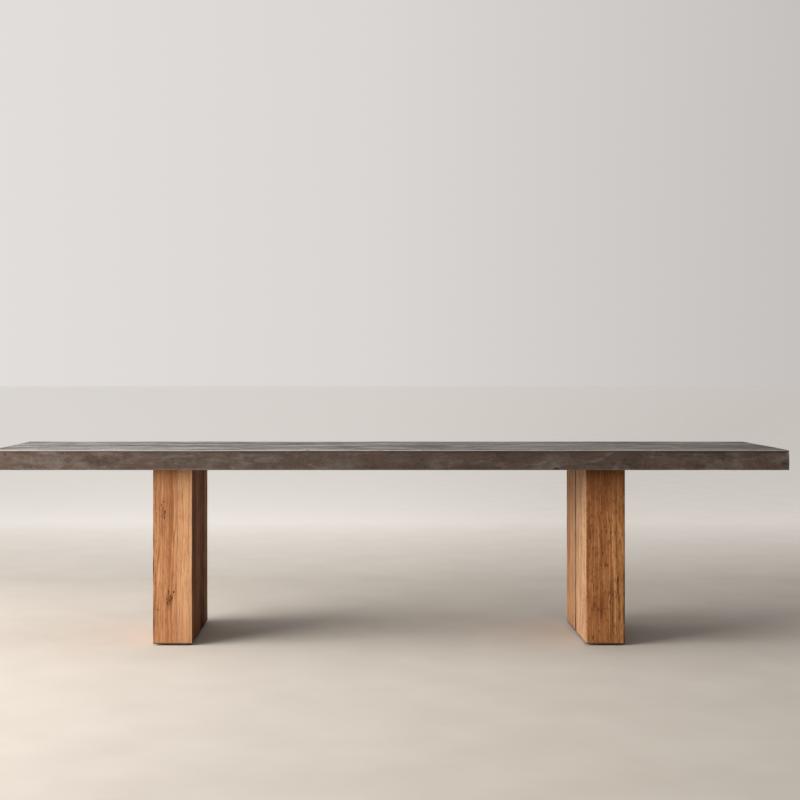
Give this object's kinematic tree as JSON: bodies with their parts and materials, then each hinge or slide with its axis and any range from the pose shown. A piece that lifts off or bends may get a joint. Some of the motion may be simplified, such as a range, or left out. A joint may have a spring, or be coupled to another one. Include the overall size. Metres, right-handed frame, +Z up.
{
  "type": "garden bench",
  "caption": "Backless garden bench: a long dark concrete seat slab on two thick upright slab legs laminated from reclaimed teak, with levelling feet.",
  "frame": {"origin": "on the ground under the middle of the bench, with the levelling feet screwed right in", "axes": "+X along the seat towards its right-hand end seen from the front, -Y towards the front, +Z up"},
  "size_m": [1.829, 0.406, 0.455],
  "materials": {
    "concrete": "satin",
    "fibre_cement": "matte",
    "foam": "matte",
    "teak": "satin",
    "pale_teak": "satin",
    "black_steel": "satin",
    "zinc_steel": "satin",
    "brass": "satin",
    "nylon": "matte"
  },
  "bodies": {
    "bench": {"top_casting": "concrete", "underside_panel_left": "fibre_cement", "underside_panel_middle": "fibre_cement", "underside_panel_right": "fibre_cement", "foam_core_left_end": "foam", "foam_core_left_middle": "foam", "foam_core_right_middle": "foam", "foam_core_right_end": "foam", "left_leg_outer_stave_1": "teak", "left_leg_outer_stave_2": "teak", "left_leg_outer_stave_3": "teak", "left_leg_inner_stave_1": "teak", "left_leg_inner_stave_2": "teak", "left_leg_inner_stave_3": "teak", "left_leg_inner_stave_4": "teak", "left_mounting_plate": "black_steel", "left_plate_bolt_1": "zinc_steel", "left_plate_bolt_2": "zinc_steel", "left_plate_bolt_3": "zinc_steel", "left_plate_bolt_4": "zinc_steel", "left_top_insert_1": "brass", "left_top_insert_2": "brass", "left_top_insert_3": "brass", "left_top_insert_4": "brass", "left_lag_screw_1": "zinc_steel", "left_lag_screw_2": "zinc_steel", "left_lag_screw_3": "zinc_steel", "left_lag_screw_4": "zinc_steel", "left_front_foot_insert": "brass", "left_back_foot_insert": "brass", "right_leg_outer_stave_1": "teak", "right_leg_outer_stave_2": "teak", "right_leg_outer_stave_3": "teak", "right_leg_inner_stave_1": "pale_teak", "right_leg_inner_stave_2": "teak", "right_leg_inner_stave_3": "teak", "right_leg_inner_stave_4": "teak", "right_mounting_plate": "black_steel", "right_plate_bolt_1": "zinc_steel", "right_plate_bolt_2": "zinc_steel", "right_plate_bolt_3": "zinc_steel", "right_plate_bolt_4": "zinc_steel", "right_top_insert_1": "brass", "right_top_insert_2": "brass", "right_top_insert_3": "brass", "right_top_insert_4": "brass", "right_lag_screw_1": "zinc_steel", "right_lag_screw_2": "zinc_steel", "right_lag_screw_3": "zinc_steel", "right_lag_screw_4": "zinc_steel", "right_front_foot_insert": "brass", "right_back_foot_insert": "brass"},
    "left_front_foot": {"left_front_foot_base": "nylon"},
    "left_front_stud": {"left_front_foot_stud": "zinc_steel"},
    "left_back_foot": {"left_back_foot_base": "nylon"},
    "left_back_stud": {"left_back_foot_stud": "zinc_steel"},
    "right_front_foot": {"right_front_foot_base": "nylon"},
    "right_front_stud": {"right_front_foot_stud": "zinc_steel"},
    "right_back_foot": {"right_back_foot_base": "nylon"},
    "right_back_stud": {"right_back_foot_stud": "zinc_steel"}
  },
  "joints": [
    {"name": "left_front_foot_lift", "type": "slide", "parent": "bench", "child": "left_front_foot", "axis": [0, 0, -1], "range_m": [0, 0.01]},
    {"name": "left_front_stud_turn", "type": "hinge", "parent": "left_front_foot", "child": "left_front_stud", "pos_m": [-0.5, -0.12, 0.02], "axis": [0, 0, -1], "range_deg": [0, 2880]},
    {"name": "left_back_foot_lift", "type": "slide", "parent": "bench", "child": "left_back_foot", "axis": [0, 0, -1], "range_m": [0, 0.01]},
    {"name": "left_back_stud_turn", "type": "hinge", "parent": "left_back_foot", "child": "left_back_stud", "pos_m": [-0.5, 0.12, 0.02], "axis": [0, 0, -1], "range_deg": [0, 2880]},
    {"name": "right_front_foot_lift", "type": "slide", "parent": "bench", "child": "right_front_foot", "axis": [0, 0, -1], "range_m": [0, 0.01]},
    {"name": "right_front_stud_turn", "type": "hinge", "parent": "right_front_foot", "child": "right_front_stud", "pos_m": [0.5, -0.12, 0.02], "axis": [0, 0, -1], "range_deg": [0, 2880]},
    {"name": "right_back_foot_lift", "type": "slide", "parent": "bench", "child": "right_back_foot", "axis": [0, 0, -1], "range_m": [0, 0.01]},
    {"name": "right_back_stud_turn", "type": "hinge", "parent": "right_back_foot", "child": "right_back_stud", "pos_m": [0.5, 0.12, 0.02], "axis": [0, 0, -1], "range_deg": [0, 2880]}
  ],
  "couplings": [
    {"joint": "left_front_stud_turn", "follows": "left_front_foot_lift", "rad_per_m": 5026.5},
    {"joint": "left_back_stud_turn", "follows": "left_back_foot_lift", "rad_per_m": 5026.5},
    {"joint": "right_front_stud_turn", "follows": "right_front_foot_lift", "rad_per_m": 5026.5},
    {"joint": "right_back_stud_turn", "follows": "right_back_foot_lift", "rad_per_m": 5026.5}
  ]
}
